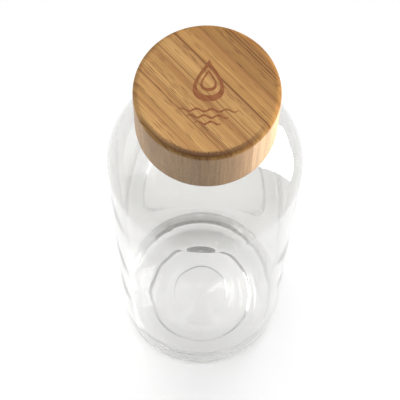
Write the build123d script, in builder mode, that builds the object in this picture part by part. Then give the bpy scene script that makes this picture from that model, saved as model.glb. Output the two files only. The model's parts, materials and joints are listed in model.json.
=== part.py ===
"""Glass water bottle with a screw-on lid of side-glued bamboo strips, in millimetres.

The bottle stands on Z = 0 with its axis on Z. One STEP file is written for each separate piece:
the glass, the silicone seal, the threaded plastic liner, and each bamboo strip of the lid.
"""

from build123d import *
import math
import os

# Whole object
total_height = 220.0
body_radius = 36.5

# Glass body
wall = 2.4
heel_radius = 7.0
shoulder_start = 159.5
shoulder_low_radius = 18.0
shoulder_low_turn = 35.0
shoulder_radius = 40.0
inner_shoulder_drop = 2.0
neck_fillet = 5.0
inner_neck_fillet = 7.0

# Glass base: a flat ring to stand on around a pushed-up centre
bearing_inner_radius = 25.4
punt_height = 3.6
punt_step_radius = 12.0
punt_step_height = 0.5
punt_step_width = 1.6
punt_edge_radius = 22.6
punt_edge_height = 1.7
punt_sag = 0.2
floor_ring_height = 5.0
floor_centre_height = 7.0
inner_heel_radius = 16.0

# Glass neck and mouth
neck_radius = 17.4
mouth_radius = 14.8
rim_height = 210.5
rim_round = 0.8
bead_low = 192.2
bead_width = 2.4
bead_depth = 1.5

# Screw thread shared by the glass and the liner
thread_pitch = 4.4
thread_turns = 1.75
glass_thread_start = 199.4
glass_thread_depth = 1.2
glass_thread_base = 2.4
glass_thread_crest = 1.2
liner_thread_drop = 1.65
liner_thread_depth = 1.15
liner_thread_base = 1.5
liner_thread_crest = 0.7
thread_root_overlap = 0.5

# Silicone seal, pressed between the rim and the liner's ceiling
seal_thickness = 2.0
seal_inner_radius = 13.6
seal_outer_radius = 18.4
seal_round = 0.4

# Threaded liner, glued into the lid's bore
liner_bore_radius = 19.0
liner_outer_radius = 20.6
liner_ceiling = 1.8
liner_low = 196.2
liner_edge = 0.4
grip_rib_count = 12
grip_rib_width = 1.6
grip_rib_reach = 0.35
grip_rib_low = 198.0

# Bamboo lid, turned from a board of strips glued side by side
lid_radius = 25.0
lid_low = 195.4
lid_bore_radius = 21.0
lid_top_round = 2.1
lid_bottom_round = 0.8
lid_bore_edge = 0.5
strip_width = 8.1
first_joint = -18.35
joint_count = 6
grain_angle = -46.0

os.makedirs("parts", exist_ok=True)


def write(piece, name):
    """Label a finished piece and write it to its own STEP file."""
    piece.label = name
    export_step(piece, f"parts/{name}.step")


def shoulder_centres(drop):
    """Centres of the shoulder's low and high arcs, which meet in one tangent line."""
    turn = math.radians(shoulder_low_turn)
    step = shoulder_low_radius - shoulder_radius
    low = (body_radius - shoulder_low_radius, shoulder_start - drop)
    high = (low[0] + step * math.cos(turn), low[1] + step * math.sin(turn))
    return low, high


def neck_turn(centre, arc_radius, fillet_radius, neck):
    """Angle of the shoulder's high arc at which a fillet carries it into the upright neck."""
    return math.acos((neck + fillet_radius - centre[0]) / (arc_radius + fillet_radius))


def arc_point(centre, arc_radius, turn):
    """Point of an arc after a turn up from level."""
    return (centre[0] + arc_radius * math.cos(turn), centre[1] + arc_radius * math.sin(turn))


def thread(root_radius, depth, base, crest, start_height):
    """One helical ridge with rounded ends. A negative depth points it at the axis."""
    side = math.copysign(1.0, depth)
    buried = side * thread_root_overlap
    with BuildPart() as ridge:
        with BuildLine():
            path = Helix(thread_pitch, thread_pitch * thread_turns, root_radius, (0, 0, start_height))
        with BuildSketch(Plane(path @ 0, x_dir=(1, 0, 0), z_dir=path % 0)):
            with BuildLine():
                Polyline(
                    (-buried, -base / 2),
                    (0, -base / 2),
                    (depth, -crest / 2),
                    (depth, crest / 2),
                    (0, base / 2),
                    (-buried, base / 2),
                    close=True,
                )
            make_face()
        sweep(path=path, is_frenet=True)
        for end in (path @ 0, path @ 1):
            outward = Vector(end.X, end.Y, 0).normalized() * side
            with Locations(Plane(end, z_dir=outward)):
                Cone(base / 2, crest / 2, abs(depth), align=(Align.CENTER, Align.CENTER, Align.MIN))
            with Locations(Plane(end - outward * thread_root_overlap, z_dir=outward)):
                Cylinder(base / 2, thread_root_overlap, align=(Align.CENTER, Align.CENTER, Align.MIN))
    return ridge.part


# Glass bottle ------------------------------------------------------------------------------

inner_radius = body_radius - wall
inner_low_radius = shoulder_low_radius - wall
inner_high_radius = shoulder_radius - wall
low_turn = math.radians(shoulder_low_turn)
low_centre, high_centre = shoulder_centres(0)
inner_low_centre, inner_high_centre = shoulder_centres(inner_shoulder_drop)
outer_turn = neck_turn(high_centre, shoulder_radius, neck_fillet, neck_radius)
inner_turn = neck_turn(inner_high_centre, inner_high_radius, inner_neck_fillet, mouth_radius)
bearing_outer_radius = body_radius - heel_radius
punt_foot = (punt_step_radius + punt_step_width, punt_height - punt_step_height)
punt_edge = (punt_edge_radius, punt_edge_height)
punt_middle = (
    (punt_foot[0] + punt_edge[0]) / 2,
    (punt_foot[1] + punt_edge[1]) / 2 + punt_sag,
)
bead_top = bead_low + bead_width
neck_fillet_top = high_centre[1] + (shoulder_radius + neck_fillet) * math.sin(outer_turn)
mouth_fillet_top = inner_high_centre[1] + (inner_high_radius + inner_neck_fillet) * math.sin(inner_turn)
floor_ring_radius = inner_radius - inner_heel_radius
inner_heel_top = floor_ring_height + inner_heel_radius

with BuildPart() as glass_bottle:
    with BuildSketch(Plane.XZ):
        with BuildLine():
            # underside
            Line((0, punt_height), (punt_step_radius, punt_height))
            Line((punt_step_radius, punt_height), punt_foot)
            ThreePointArc(punt_foot, punt_middle, punt_edge)
            Spline(punt_edge, (bearing_inner_radius, 0), tangents=((1, 0), (1, 0)))
            Line((bearing_inner_radius, 0), (bearing_outer_radius, 0))
            # outside wall, shoulder and neck
            RadiusArc((bearing_outer_radius, 0), (body_radius, heel_radius), -heel_radius)
            Line((body_radius, heel_radius), (body_radius, shoulder_start))
            RadiusArc(
                (body_radius, shoulder_start),
                arc_point(low_centre, shoulder_low_radius, low_turn),
                -shoulder_low_radius,
            )
            RadiusArc(
                arc_point(high_centre, shoulder_radius, low_turn),
                arc_point(high_centre, shoulder_radius, outer_turn),
                -shoulder_radius,
            )
            RadiusArc(
                arc_point(high_centre, shoulder_radius, outer_turn),
                (neck_radius, neck_fillet_top),
                neck_fillet,
            )
            Line((neck_radius, neck_fillet_top), (neck_radius, bead_low))
            ThreePointArc(
                (neck_radius, bead_low),
                (neck_radius + bead_depth, bead_low + bead_width / 2),
                (neck_radius, bead_top),
            )
            Line((neck_radius, bead_top), (neck_radius, rim_height - rim_round))
            # rim
            RadiusArc(
                (neck_radius, rim_height - rim_round),
                (neck_radius - rim_round, rim_height),
                -rim_round,
            )
            Line((neck_radius - rim_round, rim_height), (mouth_radius + rim_round, rim_height))
            RadiusArc(
                (mouth_radius + rim_round, rim_height),
                (mouth_radius, rim_height - rim_round),
                -rim_round,
            )
            # inside, from the mouth down to the floor
            Line((mouth_radius, rim_height - rim_round), (mouth_radius, mouth_fillet_top))
            RadiusArc(
                (mouth_radius, mouth_fillet_top),
                arc_point(inner_high_centre, inner_high_radius, inner_turn),
                -inner_neck_fillet,
            )
            RadiusArc(
                arc_point(inner_high_centre, inner_high_radius, inner_turn),
                arc_point(inner_high_centre, inner_high_radius, low_turn),
                inner_high_radius,
            )
            RadiusArc(
                arc_point(inner_low_centre, inner_low_radius, low_turn),
                (inner_radius, inner_low_centre[1]),
                inner_low_radius,
            )
            Line((inner_radius, inner_low_centre[1]), (inner_radius, inner_heel_top))
            RadiusArc(
                (inner_radius, inner_heel_top),
                (floor_ring_radius, floor_ring_height),
                inner_heel_radius,
            )
            Spline(
                (floor_ring_radius, floor_ring_height),
                (0, floor_centre_height),
                tangents=((-1, 0), (-1, 0)),
            )
            Line((0, floor_centre_height), (0, punt_height))
        make_face()
    revolve(axis=Axis.Z)
    add(
        thread(
            neck_radius,
            glass_thread_depth,
            glass_thread_base,
            glass_thread_crest,
            glass_thread_start,
        )
    )
write(glass_bottle.part, "glass_bottle")


# Silicone seal ring ------------------------------------------------------------------------

with BuildPart() as seal_ring:
    with BuildSketch(Plane.XY.offset(rim_height)):
        Circle(seal_outer_radius)
        Circle(seal_inner_radius, mode=Mode.SUBTRACT)
    extrude(amount=seal_thickness)
    fillet(seal_ring.edges(), seal_round)
write(seal_ring.part, "seal_ring")


# Threaded liner ----------------------------------------------------------------------------

ceiling_height = rim_height + seal_thickness
liner_top = ceiling_height + liner_ceiling

with BuildPart() as thread_liner:
    with BuildSketch(Plane.XY.offset(liner_low)):
        Circle(liner_outer_radius)
    extrude(amount=liner_top - liner_low)
    with BuildSketch(Plane.XY.offset(grip_rib_low)):
        with PolarLocations(liner_outer_radius, grip_rib_count):
            Rectangle(2 * grip_rib_reach, grip_rib_width)
    extrude(amount=liner_top - grip_rib_low)
    with BuildSketch(Plane.XY.offset(liner_low)):
        Circle(liner_bore_radius)
    extrude(amount=ceiling_height - liner_low, mode=Mode.SUBTRACT)
    chamfer(thread_liner.faces().sort_by(Axis.Z)[0].edges(), liner_edge)
    add(
        thread(
            liner_bore_radius,
            -liner_thread_depth,
            liner_thread_base,
            liner_thread_crest,
            glass_thread_start - liner_thread_drop,
        )
    )
write(thread_liner.part, "thread_liner")


# Bamboo lid --------------------------------------------------------------------------------

with BuildPart() as lid_blank:
    with BuildSketch(Plane.XY.offset(lid_low)):
        Circle(lid_radius)
    extrude(amount=total_height - lid_low)
    fillet(lid_blank.faces().sort_by(Axis.Z)[-1].edges(), lid_top_round)
    fillet(lid_blank.faces().sort_by(Axis.Z)[0].edges(), lid_bottom_round)
    with BuildSketch(Plane.XY.offset(lid_low)):
        Circle(lid_bore_radius)
    extrude(amount=liner_top - lid_low, mode=Mode.SUBTRACT)
    chamfer(lid_blank.faces().sort_by(Axis.Z)[0].edges().sort_by(SortBy.RADIUS)[0], lid_bore_edge)

joints = [first_joint + strip_width * number for number in range(joint_count)]
strip_sides = [-lid_radius, *joints, lid_radius]

for number in range(len(strip_sides) - 1):
    near = strip_sides[number]
    far = strip_sides[number + 1]
    with BuildPart() as lid_strip:
        add(lid_blank.part)
        with BuildSketch(Plane.XY.offset(lid_low).rotated((0, 0, grain_angle))):
            with Locations((0, (near + far) / 2)):
                Rectangle(2 * lid_radius, far - near)
        extrude(amount=total_height - lid_low, mode=Mode.INTERSECT)
    write(lid_strip.part, f"lid_strip_{number + 1}")
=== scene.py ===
"""Glass water bottle with a bamboo screw lid: the looks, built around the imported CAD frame, in metres."""

import json
import math
import random

import bmesh
import bpy
import numpy as np
from mathutils import Matrix, Vector


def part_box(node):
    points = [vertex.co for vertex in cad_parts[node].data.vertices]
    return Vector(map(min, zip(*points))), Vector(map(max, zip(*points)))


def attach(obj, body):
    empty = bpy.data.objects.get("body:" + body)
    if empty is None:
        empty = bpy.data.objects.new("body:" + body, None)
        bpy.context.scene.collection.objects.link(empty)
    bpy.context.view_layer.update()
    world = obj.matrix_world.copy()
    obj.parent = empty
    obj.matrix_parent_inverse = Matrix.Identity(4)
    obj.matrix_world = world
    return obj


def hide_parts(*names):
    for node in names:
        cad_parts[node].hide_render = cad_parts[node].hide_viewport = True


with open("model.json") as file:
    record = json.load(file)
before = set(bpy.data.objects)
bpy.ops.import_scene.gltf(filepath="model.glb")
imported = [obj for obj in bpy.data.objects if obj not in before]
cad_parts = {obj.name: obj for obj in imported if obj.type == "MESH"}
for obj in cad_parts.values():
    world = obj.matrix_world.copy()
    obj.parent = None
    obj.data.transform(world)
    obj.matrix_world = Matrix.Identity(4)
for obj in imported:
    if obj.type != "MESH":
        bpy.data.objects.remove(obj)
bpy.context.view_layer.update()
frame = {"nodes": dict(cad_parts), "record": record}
scene = bpy.context.scene

MM = 0.001

# Sizes read from the frame --------------------------------------------------------------------

glass_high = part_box("glass_bottle")[1]
seal_low, seal_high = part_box("seal_ring")
liner_low, liner_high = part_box("thread_liner")
strip_nodes = sorted(name for name in frame["nodes"] if name.startswith("lid_strip_"))
strip_boxes = [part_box(name) for name in strip_nodes]
rise_ratio = frame["record"]["behaviour"]["couplings"][0]["ratio"]

body_radius = glass_high.x
rim_height = glass_high.z
lid_low = min(low.z for low, high in strip_boxes)
lid_high = max(high.z for low, high in strip_boxes)
seal_outer = seal_high.x
thread_pitch = rise_ratio * 2 * math.pi

# Glass wall, shoulder and neck
wall = 2.4 * MM
shoulder_start = 159.5 * MM
shoulder_low_radius = 18.0 * MM
shoulder_low_turn = 35.0
shoulder_radius = 40.0 * MM
inner_shoulder_drop = 2.0 * MM
neck_fillet = 5.0 * MM
inner_neck_fillet = 7.0 * MM
neck_radius = 17.4 * MM
mouth_radius = 14.8 * MM
rim_round = 0.8 * MM
bead_low = 192.2 * MM
bead_width = 2.4 * MM
bead_depth = 1.5 * MM

# Glass base: a ring to stand on around a pushed-up centre, which has a small nub in its middle
heel_radius = 7.0 * MM
bearing_inner = 25.4 * MM
punt_height = 3.6 * MM
punt_step_radius = 12.0 * MM
punt_step_width = 0.9 * MM
punt_step_height = 0.5 * MM
punt_edge_radius = 22.6 * MM
punt_edge_height = 1.7 * MM
nub_radius = 1.2 * MM
nub_root_drop = 0.1 * MM
nub_tip_drop = 0.35 * MM
floor_ring_height = 5.0 * MM
floor_centre_height = 7.0 * MM
inner_heel_radius = 16.0 * MM

# Uneven flow of the glass. The outside draws in by the room, so that its waves stay in the CAD box.
outer_wave = 0.02 * MM
outer_wave_room = 0.05 * MM
inner_wave = 0.045 * MM
floor_wave = 0.09 * MM

# Start and width of each fade of that flow, by height and, around the centre line, by radius
below_neck_fade = (184.0 * MM, -26.0 * MM)
above_heel_fade = (heel_radius, 12.0 * MM)
above_floor_fade = (floor_ring_height, 14.0 * MM)
near_floor_fade = (16.0 * MM, -10.0 * MM)
off_centre_fade = (0.0, 12.0 * MM)

# Screw thread shared by the glass and the liner
thread_turns = 1.75
glass_thread_start = 199.4 * MM
glass_thread_depth = 1.2 * MM
glass_thread_width = 2.3 * MM
liner_thread_start = glass_thread_start - 1.65 * MM
liner_thread_depth = 1.15 * MM
liner_thread_width = 1.45 * MM

# Liner and seal
liner_bore = 19.0 * MM
liner_outer = 20.6 * MM
liner_edge = 0.4 * MM
rib_count = 12
rib_width = 1.6 * MM
rib_reach = 0.35 * MM
rib_flank = 0.25 * MM
rib_low = 198.0 * MM
seal_inner = 13.6 * MM
seal_round = 0.4 * MM

# Lid
lid_radius = 25.0 * MM
lid_bore = 21.0 * MM
lid_bore_edge = 0.5 * MM
lid_top_round = 2.1 * MM
lid_bottom_round = 0.8 * MM
strip_width = 8.1 * MM
first_joint = -18.35 * MM
grain_angle = math.radians(-46.0)
joint_wear = 0.10 * MM

# Segments around each turned piece, and how near a turned surface a point has to be to lie on it
glass_segments = 184
seal_segments = 160
liner_segments = 360
lid_segments = 256
touch = 0.01 * MM

# Printed mark. The bamboo's top is lower than the CAD's by the skin, which the ink fills up again.
top_skin = 0.03 * MM
ink_sunk = 0.02 * MM
mark_x = 0.4 * MM
drop_y = 3.6 * MM
ripple_rise = 0.5 * MM
ripple_width = 0.8 * MM

# Rough half width, half height and line width of each drop; y, length and waves of each ripple
drop_sizes = ((5.8, 7.8, 1.5), (3.0, 4.1, 0.8))
ripple_sizes = ((-7.4, 20.0, 4), (-9.7, 14.0, 3), (-12.0, 9.0, 2))

# Colours, linear
glass_tint = (0.93, 0.927, 0.917)
deep_glass_tint = (0.80, 0.80, 0.78)
seal_white = (0.80, 0.80, 0.78)
liner_white = (0.86, 0.85, 0.82)
pale_bamboo = (0.335, 0.192, 0.068)
deep_bamboo = (0.205, 0.100, 0.029)
bundle_brown = (0.082, 0.029, 0.008)
skin_red = (0.165, 0.066, 0.021)
# the side's colour, paler than the top's, partly painted sheen
side_bamboo_sheen = (0.42, 0.275, 0.165)
# painted shade for the top's rounded edge on the side towards -y
rim_shade_brown = (0.066, 0.027, 0.008)
deep_ink = (0.105, 0.034, 0.012)
pale_ink = (0.175, 0.066, 0.025)

# Each strip's tone, the strength of its skin and the tone of its sanded side with its painted sheen, across
# the lid
plain = (1.0, 1.0, 1.0)
strip_looks = (
    (plain, 0.35, (1.10, 1.13, 1.10)),
    (plain, 0.40, (1.20, 1.20, 1.12)),
    ((0.97, 0.97, 0.97), 0.60, (1.00, 0.96, 0.91)),
    ((0.92, 0.92, 0.92), 0.35, (1.25, 1.32, 1.36)),
    ((0.86, 0.82, 0.76), 0.60, (1.20, 1.28, 1.30)),
    ((0.64, 0.58, 0.50), 0.40, plain),
    ((0.60, 0.52, 0.44), 0.40, plain),
)


# Mesh helpers ---------------------------------------------------------------------------------


def arc(centre, radius, start, end, steps):
    """Points of an arc in the (radius, height) plane, angles in degrees."""
    angles = np.radians(np.linspace(start, end, steps + 1))
    return np.c_[centre[0] + radius * np.cos(angles), centre[1] + radius * np.sin(angles)]


def run(start, end, step):
    """Points of a straight run, no further apart than step."""
    count = max(1, math.ceil(math.dist(start, end) / step))
    t = np.linspace(0, 1, count + 1)[:, None]
    return np.array(start) * (1 - t) + np.array(end) * t


def ease(start, end, steps, power=None):
    """Points from start to end that begin level, and end level too unless a power is given."""
    t = np.linspace(0, 1, steps + 1)
    drop = t * t * (3 - 2 * t) if power is None else t**power
    return np.c_[start[0] + (end[0] - start[0]) * t, start[1] + (end[1] - start[1]) * drop]


def chain(*pieces):
    """Joins stretches of profile, dropping each repeated end point."""
    joined = [pieces[0]]
    for piece in pieces[1:]:
        skip = 1 if np.allclose(piece[0], joined[-1][-1], atol=1e-7) else 0
        joined.append(piece[skip:])
    return np.vstack(joined)


def fade(values, start, width):
    """0 up to start and 1 from start + width on; a negative width works the other way round."""
    return np.clip((values - start) / width, 0, 1)


def lathe(name, profile, segments, shape=None, closed=False):
    """A turned mesh. Profile rows are (radius, height); shape moves points, given radius, angle, height."""
    theta = np.linspace(0, 2 * math.pi, segments, endpoint=False)
    radius = np.repeat(profile[:, :1], segments, axis=1)
    height = np.repeat(profile[:, 1:], segments, axis=1)
    angle = np.repeat(theta[None, :], len(profile), axis=0)
    if shape is not None:
        radius, height = shape(radius, angle, height)
    points = np.stack([radius * np.cos(angle), radius * np.sin(angle), height], axis=2)
    first_pole = not closed and profile[0, 0] < 1e-9
    last_pole = not closed and profile[-1, 0] < 1e-9
    rings = points[int(first_pole):len(points) - int(last_pole)]
    vertices = [tuple(point) for ring in rings for point in ring]
    faces = []
    for i in range(len(rings) if closed else len(rings) - 1):
        j = (i + 1) % len(rings)
        for k in range(segments):
            m = (k + 1) % segments
            faces.append((i * segments + k, i * segments + m, j * segments + m, j * segments + k))
    if first_pole:
        pole = len(vertices)
        vertices.append((0, 0, float(height[0, 0])))
        faces += [(pole, (k + 1) % segments, k) for k in range(segments)]
    if last_pole:
        pole = len(vertices)
        vertices.append((0, 0, float(height[-1, 0])))
        base = (len(rings) - 1) * segments
        faces += [(pole, base + k, base + (k + 1) % segments) for k in range(segments)]
    mesh = bpy.data.meshes.new(name)
    mesh.from_pydata(vertices, [], faces)
    mesh.validate()
    return finish_mesh(name, mesh)


def finish_mesh(name, mesh, smooth=True):
    """Links a mesh as an object, with outward normals."""
    work = bmesh.new()
    work.from_mesh(mesh)
    bmesh.ops.recalc_face_normals(work, faces=work.faces)
    for face in work.faces:
        face.smooth = smooth
    work.to_mesh(mesh)
    work.free()
    piece = bpy.data.objects.new(name, mesh)
    scene.collection.objects.link(piece)
    return piece


def place(piece, body, slot, *nodes):
    """Rides a finished piece on its CAD body in place of its CAD nodes."""
    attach(piece, body)
    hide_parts(*nodes)


def thread_ridge(angle, height, start, width):
    """How far up a rounded helical ridge each point is, 0 off it to 1 along its crest."""
    best = np.zeros_like(height)
    turn = angle / (2 * math.pi)
    for extra in range(-1, int(thread_turns) + 2):
        along = turn + extra
        nearest = np.clip(along, 0, thread_turns)
        past_end = (along - nearest) * 2 * math.pi * neck_radius
        rise = height - (start + thread_pitch * nearest)
        distance = np.hypot(rise, past_end) / (width / 2)
        # a dome steep enough to be cut off at 1 leaves the ridge a flat crest
        best = np.maximum(best, np.clip(1.45 * (1 - distance**2), 0, 1))
    return best * best * (3 - 2 * best)


# Materials ------------------------------------------------------------------------------------


class Recipe:
    """A material being put together, with short ways to add nodes to its tree."""

    def __init__(self, name):
        self.material = bpy.data.materials.new(name)
        self.material.use_nodes = True
        self.nodes = self.material.node_tree.nodes
        self.links = self.material.node_tree.links

    def feed(self, socket, value):
        """Links another node's output to a socket, or sets a plain number, vector or colour on it."""
        if isinstance(value, bpy.types.NodeSocket):
            self.links.new(value, socket)
        elif socket.type == "RGBA":
            socket.default_value = (*value, 1.0)
        else:
            socket.default_value = value

    def surface(self, name, value):
        """Feeds one of the surface shader's own sockets."""
        self.feed(self.nodes["Principled BSDF"].inputs[name], value)

    def places(self):
        """Outputs of the texture coordinates."""
        return self.nodes.new("ShaderNodeTexCoord").outputs

    def split(self, vector):
        """The x, y and z of a vector."""
        node = self.nodes.new("ShaderNodeSeparateXYZ")
        self.feed(node.inputs[0], vector)
        return node.outputs

    def calc(self, operation, *values, clamp=False):
        """The result of a Math node."""
        node = self.nodes.new("ShaderNodeMath")
        node.operation = operation
        node.use_clamp = clamp
        for socket, value in zip(node.inputs, values):
            self.feed(socket, value)
        return node.outputs[0]

    def fade(self, value, start, width):
        """0 up to start and 1 from start + width on; a negative width works the other way round."""
        return self.calc("MULTIPLY", self.calc("SUBTRACT", value, start), 1 / width, clamp=True)

    def mix(self, factor, under, over):
        """One colour laid over another."""
        node = self.nodes.new("ShaderNodeMix")
        node.data_type = "RGBA"
        self.feed(node.inputs[0], factor)
        self.feed(node.inputs[6], under)
        self.feed(node.inputs[7], over)
        return node.outputs[2]

    def mapped(self, source, scale=(1, 1, 1), rotation=(0, 0, 0), shift=(0, 0, 0)):
        """Coordinates that are scaled, turned and then shifted."""
        node = self.nodes.new("ShaderNodeMapping")
        self.feed(node.inputs["Vector"], source)
        self.feed(node.inputs["Scale"], scale)
        self.feed(node.inputs["Rotation"], rotation)
        self.feed(node.inputs["Location"], shift)
        return node.outputs["Vector"]

    def along_grain(self, source):
        """Object coordinates turned so that x runs along the lid's strips."""
        return self.mapped(source, rotation=(0, 0, -grain_angle))

    def noise(self, vector, detail, roughness, scale=1.0):
        """Cloudy noise from 0 to 1."""
        node = self.nodes.new("ShaderNodeTexNoise")
        self.feed(node.inputs["Vector"], vector)
        self.feed(node.inputs["Scale"], scale)
        self.feed(node.inputs["Detail"], detail)
        self.feed(node.inputs["Roughness"], roughness)
        return node.outputs["Fac"]

    def ramp(self, value, *stops):
        """A colour that runs through (position, colour) stops."""
        node = self.nodes.new("ShaderNodeValToRGB")
        self.feed(node.inputs[0], value)
        elements = node.color_ramp.elements
        elements.remove(elements[-1])
        elements[0].position = stops[0][0]
        elements[0].color = (*stops[0][1], 1.0)
        for position, colour in stops[1:]:
            elements.new(position).color = (*colour, 1.0)
        return node.outputs[0]

    def bump(self, height, strength, distance):
        """Fine relief in the surface's normal."""
        node = self.nodes.new("ShaderNodeBump")
        self.feed(node.inputs["Height"], height)
        self.feed(node.inputs["Strength"], strength)
        self.feed(node.inputs["Distance"], distance)
        self.surface("Normal", node.outputs[0])


def tinted(colour, tone):
    """A colour times a tone, channel by channel."""
    return tuple(c * t for c, t in zip(colour, tone))


def grey(value):
    """A colour with three like channels."""
    return (value, value, value)


def glass_material():
    """Clear glass, hardly tinted, that also takes a little light for every millimetre it passes."""
    look = Recipe("clear_glass")
    look.surface("Base Color", glass_tint)
    look.surface("Transmission Weight", 1.0)
    look.surface("Roughness", 0.0)
    look.surface("IOR", 1.5)
    absorption = look.nodes.new("ShaderNodeVolumeAbsorption")
    look.feed(absorption.inputs["Color"], deep_glass_tint)
    look.feed(absorption.inputs["Density"], 28.0)
    look.feed(look.nodes["Material Output"].inputs["Volume"], absorption.outputs[0])
    return look.material


def plastic_material(name, colour, roughness, subsurface):
    """Moulded plastic or silicone with a fine even grain."""
    look = Recipe(name)
    grain = look.noise(look.places()["Object"], 4.0, 0.55, scale=900.0)
    look.surface("Base Color", look.ramp(grain, (0.3, tinted(colour, grey(0.94))), (0.7, colour)))
    look.surface("Roughness", look.calc("MULTIPLY_ADD", grain, 0.12, roughness - 0.06))
    look.surface("Subsurface Weight", subsurface)
    look.surface("Subsurface Radius", grey(2 * MM))
    look.bump(grain, 0.1, 0.05 * MM)
    return look.material


def ink_material():
    """Reddish-brown ink that the fibre shows through."""
    look = Recipe("ink")
    along = look.along_grain(look.places()["Object"])
    fibre = look.noise(look.mapped(along, (150, 2600, 900)), 3.0, 0.7)
    look.surface("Base Color", look.ramp(fibre, (0.36, deep_ink), (0.62, pale_ink)))
    look.surface("Roughness", look.calc("MULTIPLY_ADD", fibre, 0.2, 0.45))
    look.surface("Specular IOR Level", 0.15)
    return look.material


class BambooRecipe(Recipe):
    """Bamboo of one strip between its near and far joints, laid up layer by layer."""

    def __init__(self, number, near, far):
        super().__init__(f"bamboo_{number}")
        self.number = number
        places = self.places()
        self.own_y = self.split(places["Object"])[1]
        self.normal_z = self.split(places["Normal"])[2]
        self.along = self.along_grain(places["Object"])
        across, self.height = self.split(self.along)[1:]
        self.share = self.calc("DIVIDE", self.calc("SUBTRACT", across, near), far - near)
        self.fibre = self.noise(self.stretched((60, 3200, 1700), 9), 2.0, 0.7)
        self.speck = self.noise(self.stretched((1400, 2200, 1100), 6), 2.0, 0.7)

    def stretched(self, scale, seed):
        """Coordinates drawn out along the grain, in a different place for each strip and seed."""
        place = self.number + seed
        return self.mapped(self.along, scale, shift=(place * 1.7, place * 2.3, place * 0.9))

    def vessel_bundles(self):
        """Short thin dashes in groups, denser towards the skin."""
        cells = self.nodes.new("ShaderNodeTexVoronoi")
        self.feed(cells.inputs["Scale"], 1.0)
        self.feed(cells.inputs["Vector"], self.stretched((150, 2700, 1500), 4))
        core = self.fade(cells.outputs["Distance"], 0.34, -1 / 9)
        pick = self.nodes.new("ShaderNodeSeparateColor")
        self.feed(pick.inputs[0], cells.outputs["Color"])
        patch = self.noise(self.stretched((34, 420, 260), 2), 2.0, 0.55)
        dense = self.calc("ADD", self.calc("MULTIPLY", self.share, 0.22), self.calc("MULTIPLY", patch, 1.8))
        limit = self.calc("MULTIPLY_ADD", pick.outputs[0], 0.3, 0.80)
        return self.calc("MULTIPLY", core, self.fade(dense, limit, 0.2))

    def wood(self, tone, bundle):
        """Fine fibre over a slow drift of tone, with long thin lines and the vessel bundles in brown."""
        slow = self.noise(self.stretched((9, 480, 80), 0), 4.0, 0.6)
        depth = self.calc("ADD", self.calc("MULTIPLY", slow, 0.55), self.calc("MULTIPLY", self.fibre, 0.45))
        colour = self.ramp(depth, (0.36, tinted(deep_bamboo, tone)), (0.62, tinted(pale_bamboo, tone)))
        lines = self.noise(self.stretched((5, 1950, 260), 12), 1.0, 0.6)
        line = self.fade(lines, 0.40, -1 / 14)
        brown = tinted(bundle_brown, tone)
        colour = self.mix(self.calc("MULTIPLY", line, 0.80), colour, brown)
        return self.mix(self.calc("MULTIPLY", bundle, 0.90), colour, brown)

    def skin_and_glue(self, colour, tone, skin):
        """The reddish skin side of the culm, and the thin glue line at each joint."""
        edge = self.ramp(
            self.share,
            (0.0, grey(0.75)),
            (0.018, grey(0.10)),
            (0.08, grey(0.0)),
            (0.62, grey(0.0)),
            (0.88, grey(skin * 0.55)),
            (0.965, grey(skin)),
            (0.985, grey(0.8)),
            (1.0, grey(0.8)),
        )
        grain = self.calc("MULTIPLY_ADD", self.fibre, 1.6, 0.15)
        return self.mix(self.calc("MULTIPLY", edge, grain, clamp=True), colour, tinted(skin_red, tone))

    def sanded_side_and_sheen(self, colour, side_tone):
        """The upright side is paler and greyer than the oiled top, partly from its sanded cut fibres and
        partly as painted sheen, and speckled by cut fibres.
        """
        upright = self.calc("SUBTRACT", 1.0, self.calc("ABSOLUTE", self.normal_z))
        streak = self.noise(self.stretched((40, 1500, 25), 15), 2.0, 0.6)
        shade = self.calc("ADD", self.calc("MULTIPLY", self.speck, 0.9), self.calc("MULTIPLY", streak, 1.1))
        pale = self.nodes.new("ShaderNodeVectorMath")
        pale.operation = "SCALE"
        self.feed(pale.inputs[0], tinted(side_bamboo_sheen, side_tone))
        self.feed(pale.inputs["Scale"], shade)
        # painted sheen, in part: the upright side is washed paler than the top
        pale_and_sheen = self.mix(0.66, colour, pale.outputs[0])
        return self.mix(self.fade(upright, 0.50, 1 / 3), colour, pale_and_sheen)

    def painted_rim_shade(self, colour):
        """Painted shade: a ragged dark band where the top rounds over, on the side towards -y."""
        flat = self.nodes.new("ShaderNodeVectorMath")
        flat.operation = "MULTIPLY"
        self.feed(flat.inputs[0], self.along)
        self.feed(flat.inputs[1], (1, 1, 0))
        length = self.nodes.new("ShaderNodeVectorMath")
        length.operation = "LENGTH"
        self.feed(length.inputs[0], flat.outputs[0])
        jitter = self.calc("MULTIPLY", self.calc("SUBTRACT", self.speck, 0.5), 1.6 * MM)
        ragged = self.calc("ADD", length.outputs["Value"], jitter)
        inner_side = self.fade(ragged, lid_radius - 2.8 * MM, 0.6 * MM)
        outer_side = self.fade(ragged, lid_radius - 0.2 * MM, -0.8 * MM)
        upper = self.fade(self.height, lid_high - 2.2 * MM, 0.8 * MM)
        band = self.calc("MULTIPLY", self.calc("MULTIPLY", inner_side, outer_side), upper)
        # painted shade: the band darkens towards -y, the side of the rim that faces away from the lights
        towards = self.calc("MULTIPLY_ADD", self.own_y, -1.7 / lid_radius, -0.62, clamp=True)
        strength = self.calc("MULTIPLY_ADD", self.speck, 1.1, 0.45)
        shaded_rim = self.calc("MULTIPLY", self.calc("MULTIPLY", band, towards), strength, clamp=True)
        return self.mix(shaded_rim, colour, rim_shade_brown)


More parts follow.
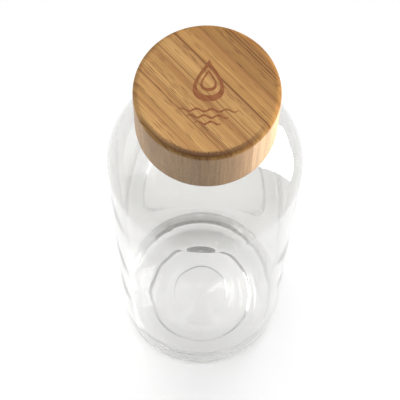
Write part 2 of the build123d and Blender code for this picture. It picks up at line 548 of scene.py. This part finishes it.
def bamboo_material(number, near, far, tone, skin, side_tone):
    """Satin bamboo: wood with its bundles, skin and glue, a sanded side with painted sheen, and painted shade
    on the top's edge towards -y.
    """
    look = BambooRecipe(number, near, far)
    bundle = look.vessel_bundles()
    colour = look.wood(tone, bundle)
    colour = look.skin_and_glue(colour, tone, skin)
    colour = look.sanded_side_and_sheen(colour, side_tone)
    look.surface("Base Color", look.painted_rim_shade(colour))
    look.surface("Roughness", look.calc("MULTIPLY_ADD", look.fibre, 0.20, 0.38))
    look.surface("Specular IOR Level", 0.25)
    look.bump(look.calc("SUBTRACT", look.fibre, look.calc("MULTIPLY", bundle, 0.6)), 0.3, 0.1 * MM)
    return look.material


# Glass ----------------------------------------------------------------------------------------


def shoulder_centres(drop):
    """Centres of the shoulder's low and high arcs, which meet in one tangent line."""
    turn = math.radians(shoulder_low_turn)
    step = shoulder_low_radius - shoulder_radius
    low = (body_radius - shoulder_low_radius, shoulder_start - drop)
    return low, (low[0] + step * math.cos(turn), low[1] + step * math.sin(turn))


def neck_turn(centre, radius, fillet, neck):
    """Angle of the shoulder's high arc, in degrees, at which a fillet carries it into the upright neck."""
    return math.degrees(math.acos((neck + fillet - centre[0]) / (radius + fillet)))


def glass_outside():
    """Profile from the centre of the underside, around the heel and up to the rim's inner edge."""
    low_centre, centre = shoulder_centres(0)
    turn = neck_turn(centre, shoulder_radius, neck_fillet, neck_radius)
    neck_foot = centre[1] + (shoulder_radius + neck_fillet) * math.sin(math.radians(turn))
    nub_tip = (0, punt_height - nub_tip_drop)
    nub_root = (nub_radius, punt_height - nub_root_drop)
    punt_step = (punt_step_radius, punt_height)
    punt_foot = (punt_step_radius + punt_step_width, punt_height - punt_step_height)
    punt_edge = (punt_edge_radius, punt_edge_height)
    bearing_outer = body_radius - heel_radius
    bead_top = bead_low + bead_width
    bead = arc((0, 0), 1.0, -90, 90, 14) * (bead_depth, bead_width / 2)
    rim_low = rim_height - rim_round
    return chain(
        run(nub_tip, nub_root, 0.4 * MM),
        run(nub_root, punt_step, 1.0 * MM),
        ease(punt_step, punt_foot, 10),
        ease(punt_foot, punt_edge, 14, 1.6),
        ease(punt_edge, (bearing_inner, 0), 24),
        run((bearing_inner, 0), (bearing_outer, 0), 0.5 * MM),
        arc((bearing_outer, heel_radius), heel_radius, -90, 0, 28),
        run((body_radius, heel_radius), (body_radius, shoulder_start), 3.2 * MM),
        arc(low_centre, shoulder_low_radius, 0, shoulder_low_turn, 24),
        arc(centre, shoulder_radius, shoulder_low_turn, turn, 30),
        arc((neck_radius + neck_fillet, neck_foot), neck_fillet, 180 + turn, 180, 14),
        run((neck_radius, neck_foot), (neck_radius, bead_low), 1.0 * MM),
        bead + (neck_radius, (bead_low + bead_top) / 2),
        run((neck_radius, bead_top), (neck_radius, rim_low), 0.24 * MM),
        arc((neck_radius - rim_round, rim_low), rim_round, 0, 90, 8),
        run((neck_radius - rim_round, rim_height), (mouth_radius + rim_round, rim_height), 0.3 * MM),
        arc((mouth_radius + rim_round, rim_low), rim_round, 90, 180, 8),
    )


def glass_inside():
    """Profile from the rim's inner edge down to the centre of the floor."""
    low_centre, centre = shoulder_centres(inner_shoulder_drop)
    radius = shoulder_radius - wall
    turn = neck_turn(centre, radius, inner_neck_fillet, mouth_radius)
    neck_foot = centre[1] + (radius + inner_neck_fillet) * math.sin(math.radians(turn))
    inner_radius = body_radius - wall
    heel_centre = (inner_radius - inner_heel_radius, floor_ring_height + inner_heel_radius)
    return chain(
        run((mouth_radius, rim_height - rim_round), (mouth_radius, neck_foot), 0.8 * MM),
        arc((mouth_radius + inner_neck_fillet, neck_foot), inner_neck_fillet, 180, 180 + turn, 16),
        arc(centre, radius, turn, shoulder_low_turn, 28),
        arc(low_centre, shoulder_low_radius - wall, shoulder_low_turn, 0, 22),
        run((inner_radius, low_centre[1]), (inner_radius, heel_centre[1]), 3.2 * MM),
        arc(heel_centre, inner_heel_radius, 0, -90, 40),
        ease((heel_centre[0], floor_ring_height), (0, floor_centre_height), 33),
    )


def waves(angle, height, seed, count, size, turns, tallness):
    """Gentle uneven flow in the glass: a sum of a few long waves around and along it."""
    rng = random.Random(seed)
    total = np.zeros_like(height)
    for _ in range(count):
        around = rng.choice(turns)
        along = rng.uniform(*tallness)
        phase = rng.uniform(0, 2 * math.pi)
        lean = rng.uniform(-1, 1)
        total += rng.uniform(0.4, 1.0) * np.sin(
            around * angle + phase + 2 * math.pi * height / along + lean * np.sin(2 * angle)
        )
    return size * total / count


def glass_shape(outside_rows):
    """Moves the turned glass's points: the thread on its neck, and the flow marks of moulded glass."""

    def shape(radius, angle, height):
        outside = np.zeros_like(radius)
        outside[:outside_rows] = 1.0
        inside = 1 - outside
        on_neck = outside * (height > bead_low + bead_width) * (radius > neck_radius - touch)
        ridge = thread_ridge(angle, height, glass_thread_start, glass_thread_width)
        radius = radius + on_neck * glass_thread_depth * ridge
        below_neck = fade(height, *below_neck_fade)
        above_heel = fade(height, *above_heel_fade)
        above_floor = fade(height, *above_floor_fade)
        near_floor = fade(height, *near_floor_fade)
        off_centre = fade(radius, *off_centre_fade)
        outer = waves(angle, height, 11, 7, outer_wave, (1, 2, 3), (0.06, 0.2))
        inner = waves(angle, height, 5, 9, inner_wave, (1, 2, 3, 4, 5), (0.03, 0.11))
        radius = radius + outside * (outer * off_centre - outer_wave_room) * below_neck * above_heel
        radius = radius + inside * inner * below_neck * above_floor
        floor = waves(angle, radius, 21, 6, floor_wave, (1, 2, 3), (0.018, 0.05))
        return radius, height + inside * floor * near_floor * off_centre

    return shape


# Pieces ---------------------------------------------------------------------------------------


def make_bottle():
    """The glass, as one closed mesh from the underside over the rim to the floor inside."""
    outside = glass_outside()
    profile = chain(outside, glass_inside())
    bottle = lathe("clear_glass_bottle", profile, glass_segments, glass_shape(len(outside)))
    bottle.data.materials.append(glass_material())
    place(bottle, "bottle", "clear_glass", "glass_bottle")


def make_seal():
    """The silicone ring that the liner's ceiling presses on the rim."""
    inner, outer = seal_inner + seal_round, seal_outer - seal_round
    low, high = seal_low.z + seal_round, seal_high.z - seal_round
    profile = chain(
        arc((outer, low), seal_round, -90, 0, 6),
        arc((outer, high), seal_round, 0, 90, 6),
        arc((inner, high), seal_round, 90, 180, 6),
        arc((inner, low), seal_round, 180, 270, 6),
    )
    seal = lathe("silicone_seal", profile, seal_segments, closed=True)
    seal.data.materials.append(plastic_material("silicone", seal_white, 0.55, 0.3))
    place(seal, "seal", "silicone", "seal_ring")


def liner_shape(radius, angle, height):
    """Moves the turned liner's points: the thread in its bore and the ribs on its outside."""
    in_bore = (np.abs(radius - liner_bore) < touch) * (height < seal_high.z - liner_edge)
    ridge = thread_ridge(angle, height, liner_thread_start, liner_thread_width)
    radius = radius - in_bore * liner_thread_depth * ridge
    on_side = np.abs(radius - liner_outer) < touch
    spacing = 2 * math.pi / rib_count
    off_rib = np.abs((angle + spacing / 2) % spacing - spacing / 2) * liner_outer
    rib = fade(off_rib, rib_width / 2, -rib_flank) * (height > rib_low) * (height < liner_high.z - liner_edge)
    return radius + on_side * rib * rib_reach, height


def make_liner():
    """The plastic cup in the lid's bore, with its thread and its grip ribs."""
    low, high, ceiling = liner_low.z, liner_high.z, seal_high.z
    side, bore, edge = liner_outer, liner_bore, liner_edge
    profile = chain(
        run((0, high), (side - edge, high), 2 * MM),
        arc((side - edge, high - edge), edge, 90, 0, 5),
        run((side, high - edge), (side, low + edge), 0.6 * MM),
        arc((side - edge, low + edge), edge, 0, -90, 5),
        arc((bore + edge, low + edge), edge, -90, -180, 5),
        run((bore, low + edge), (bore, ceiling - edge), 0.2 * MM),
        arc((bore - edge, ceiling - edge), edge, 0, 90, 5),
        run((bore - edge, ceiling), (0, ceiling), 2 * MM),
    )
    liner = lathe("liner_cup", profile, liner_segments, liner_shape)
    liner.data.materials.append(plastic_material("liner_plastic", liner_white, 0.42, 0.15))
    place(liner, "lid", "liner_plastic", "thread_liner")


def lid_blank():
    """The whole lid, turned and bored, before it is cut into its strips."""
    top = lid_high - top_skin
    bore_top = liner_high.z
    top_flat = lid_radius - lid_top_round
    low_flat = lid_radius - lid_bottom_round
    profile = chain(
        run((0, top), (top_flat, top), 3 * MM),
        arc((top_flat, top - lid_top_round), lid_top_round, 90, 0, 12),
        run((lid_radius, top - lid_top_round), (lid_radius, lid_low + lid_bottom_round), 4 * MM),
        arc((low_flat, lid_low + lid_bottom_round), lid_bottom_round, 0, -90, 8),
        run((low_flat, lid_low), (lid_bore + lid_bore_edge, lid_low), 1 * MM),
        run((lid_bore + lid_bore_edge, lid_low), (lid_bore, lid_low + lid_bore_edge), 1 * MM),
        run((lid_bore, lid_low + lid_bore_edge), (lid_bore, bore_top), 5 * MM),
        run((lid_bore, bore_top), (0, bore_top), 3 * MM),
    )
    return lathe("lid_blank", profile, lid_segments)


def cut_strip(name, blank, near, far):
    """The part of the blank between two joints, with its cut faces closed."""
    across = Vector((-math.sin(grain_angle), math.cos(grain_angle), 0))
    work = bmesh.new()
    work.from_mesh(blank.data)
    for offset, away in ((near, -1), (far, 1)):
        if abs(offset) >= lid_radius:
            continue
        cut = bmesh.ops.bisect_plane(
            work,
            geom=work.verts[:] + work.edges[:] + work.faces[:],
            dist=1e-8,
            plane_co=across * offset,
            plane_no=across * away,
            clear_outer=True,
        )
        rim = [item for item in cut["geom_cut"] if isinstance(item, bmesh.types.BMEdge)]
        bmesh.ops.holes_fill(work, edges=rim)
    mesh = bpy.data.meshes.new(name)
    work.to_mesh(mesh)
    work.free()
    return finish_mesh(name, mesh)


def make_lid():
    """The lid is turned as one blank and then cut into its strips, each with its own wood."""
    blank = lid_blank()
    joints = [first_joint + strip_width * k for k in range(len(strip_nodes) - 1)]
    sides = [-lid_radius, *joints, lid_radius]
    strips = []
    for k, (node, look) in enumerate(zip(strip_nodes, strip_looks)):
        strip = cut_strip(f"bamboo_strip_{k + 1}", blank, sides[k], sides[k + 1])
        bevel = strip.modifiers.new("worn_edges", "BEVEL")
        bevel.width = joint_wear
        bevel.segments = 2
        bevel.limit_method = "ANGLE"
        bevel.angle_limit = math.radians(50)
        strip.data.set_sharp_from_angle(angle=math.radians(40))
        strip.data.materials.append(bamboo_material(k + 1, sides[k], sides[k + 1], *look))
        place(strip, "lid", "bamboo", node)
        strips.append(strip)
    bpy.data.objects.remove(blank)
    return strips


# Printed mark ---------------------------------------------------------------------------------


def ribbon(work, left, right, low, high, closed=False):
    """Adds a flat line of ink between two outlines, as a thin closed solid."""
    rows = []
    for a, b in zip(left, right):
        rows.append([work.verts.new(point) for point in ((*a, high), (*b, high), (*b, low), (*a, low))])
    count = len(rows)
    for k in range(count if closed else count - 1):
        here, there = rows[k], rows[(k + 1) % count]
        for m in range(4):
            n = (m + 1) % 4
            work.faces.new((here[m], here[n], there[n], there[m]))
    if not closed:
        work.faces.new(rows[0][::-1])
        work.faces.new(rows[-1])


def drop_outline(centre, half_width, half_height, count=72):
    """A teardrop with its point up."""
    points = []
    for k in range(count):
        t = 2 * math.pi * k / count
        x = half_width * math.sin(t) * math.sin(t / 2) ** 1.5 * 1.3
        points.append((centre[0] + x, centre[1] + half_height * math.cos(t)))
    return points


def ripple(centre, length, turns, count=48):
    """Two outlines of a wavy line that thins towards its ends."""
    upper, lower = [], []
    for k in range(count):
        t = k / (count - 1)
        x = centre[0] + (t - 0.5) * length
        y = centre[1] + ripple_rise * math.sin(2 * math.pi * turns * t)
        half = ripple_width / 2 * (0.25 + 0.75 * math.sqrt(abs(math.sin(math.pi * t))))
        upper.append((x, y + half))
        lower.append((x, y - half))
    return upper, lower


def make_mark():
    """A plain water drop over three ripples, printed on the lid."""
    work = bmesh.new()
    low, high = lid_high - top_skin - ink_sunk, lid_high
    drop_centre = (mark_x, drop_y)
    for half_width, half_height, width in drop_sizes:
        outer = drop_outline(drop_centre, half_width * MM, half_height * MM)
        inner = drop_outline(drop_centre, (half_width - width) * MM, (half_height - 1.5 * width) * MM)
        ribbon(work, outer, inner, low, high, closed=True)
    for y, length, turns in ripple_sizes:
        upper, lower = ripple((mark_x, y * MM), length * MM, turns)
        ribbon(work, upper, lower, low, high)
    mesh = bpy.data.meshes.new("lid_mark")
    work.to_mesh(mesh)
    work.free()
    mark = finish_mesh("lid_mark", mesh, smooth=False)
    mark.data.materials.append(ink_material())
    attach(mark, "lid")
    return mark


# Studio ---------------------------------------------------------------------------------------

camera_place = Vector((-0.00146, -0.20902, 0.65615))
camera_down = math.radians(68.744)
camera_roll = math.radians(-1.5045)
camera_lens = 130.5

floor_reach = 4.0
floor_level = -0.03 * MM
floor_glow = 0.40
room_glow = 0.16

light_aim = Vector((0, 0, 0.12))
light_distance = 0.8


def make_camera():
    """Looks steeply down at the bottle, square to the x axis but for a slight roll."""
    camera = bpy.data.objects.new("camera", bpy.data.cameras.new("camera"))
    scene.collection.objects.link(camera)
    camera.data.lens = camera_lens
    camera.data.clip_start = 0.02
    camera.data.clip_end = 30.0
    sideways = Vector((1, 0, 0))
    forward = Vector((0, math.cos(camera_down), -math.sin(camera_down)))
    level_up = Vector((0, math.sin(camera_down), math.cos(camera_down)))
    right = sideways * math.cos(camera_roll) - level_up * math.sin(camera_roll)
    up = sideways * math.sin(camera_roll) + level_up * math.cos(camera_roll)
    turned = Matrix((right, up, -forward)).transposed()
    camera.matrix_world = Matrix.Translation(camera_place) @ turned.to_4x4()
    scene.camera = camera


def make_floor():
    """A white satin floor just under the bottle, which glows a little so that it shows as plain white."""
    mesh = bpy.data.meshes.new("floor")
    near, far, level = -floor_reach, floor_reach, floor_level
    corners = [(near, near, level), (far, near, level), (far, far, level), (near, far, level)]
    mesh.from_pydata(corners, [], [(0, 1, 2, 3)])
    floor = bpy.data.objects.new("floor", mesh)
    scene.collection.objects.link(floor)
    look = Recipe("pale_floor")
    look.surface("Base Color", grey(0.90))
    look.surface("Roughness", 0.15)
    look.surface("Emission Color", grey(1.0))
    look.surface("Emission Strength", floor_glow)
    floor.data.materials.append(look.material)
    return floor


def softbox(name, azimuth, elevation, size, radiance, distance=light_distance):
    """A soft rectangular light, placed by its direction from the bottle and unseen by the camera itself."""
    data = bpy.data.lights.new(name, "AREA")
    data.shape = "RECTANGLE"
    data.size, data.size_y = size
    data.energy = radiance * math.pi * size[0] * size[1]
    turn, tilt = math.radians(azimuth), math.radians(elevation)
    away = Vector((math.cos(tilt) * math.cos(turn), math.cos(tilt) * math.sin(turn), math.sin(tilt)))
    light = bpy.data.objects.new(name, data)
    light.location = light_aim + away * distance
    light.rotation_mode = "QUATERNION"
    light.rotation_quaternion = (-away).to_track_quat("-Z", "Y")
    light.visible_camera = False
    scene.collection.objects.link(light)
    return light


def link_light(light, pieces, state):
    """Lets a light reach only these pieces, or all but these."""
    chosen = bpy.data.collections.new(light.name + "_receivers")
    for piece in pieces:
        chosen.objects.link(piece)
    light.light_linking.receiver_collection = chosen
    for item in chosen.collection_objects:
        item.light_linking.link_state = state


def make_studio(floor, lid_pieces):
    """Lights that shape the glass, and others without gloss for the lid, which the first would make glare."""
    world = bpy.data.worlds.new("studio")
    scene.world = world
    world.use_nodes = True
    background = world.node_tree.nodes["Background"]
    background.inputs["Color"].default_value = (1.0, 1.0, 1.0, 1.0)
    background.inputs["Strength"].default_value = room_glow
    left_box = softbox("left_box", 160, 27, (0.8, 0.8), 1.6)
    left_box.visible_transmission = False
    right_box = softbox("right_box", 20, 19, (0.55, 0.74), 11.0)
    top_strip = softbox("top_strip", 50, 62, (0.08, 0.24), 10.0)
    for box in (right_box, left_box, top_strip):
        link_light(box, [floor, *lid_pieces], "EXCLUDE")
    lid_right_box = softbox("lid_right_box", 16, 20, (0.6, 0.7), 20.5)
    lid_left_box = softbox("lid_left_box", 166, 28, (0.9, 0.9), 2.3)
    for box in (lid_right_box, lid_left_box):
        link_light(box, lid_pieces, "INCLUDE")
        box.visible_glossy = False
    softbox("overhead", 90, 84, (1.2, 1.2), 2.5, distance=1.2)
    scene.view_settings.view_transform = "Standard"
    scene.view_settings.look = "None"
    scene.cycles.max_bounces = 24
    scene.cycles.transmission_bounces = 24
    scene.cycles.glossy_bounces = 12
    scene.cycles.transparent_max_bounces = 24
    scene.cycles.caustics_reflective = True
    scene.cycles.caustics_refractive = True


make_camera()
floor = make_floor()
make_bottle()
make_seal()
make_liner()
strips = make_lid()
mark = make_mark()
make_studio(floor, [*strips, mark])
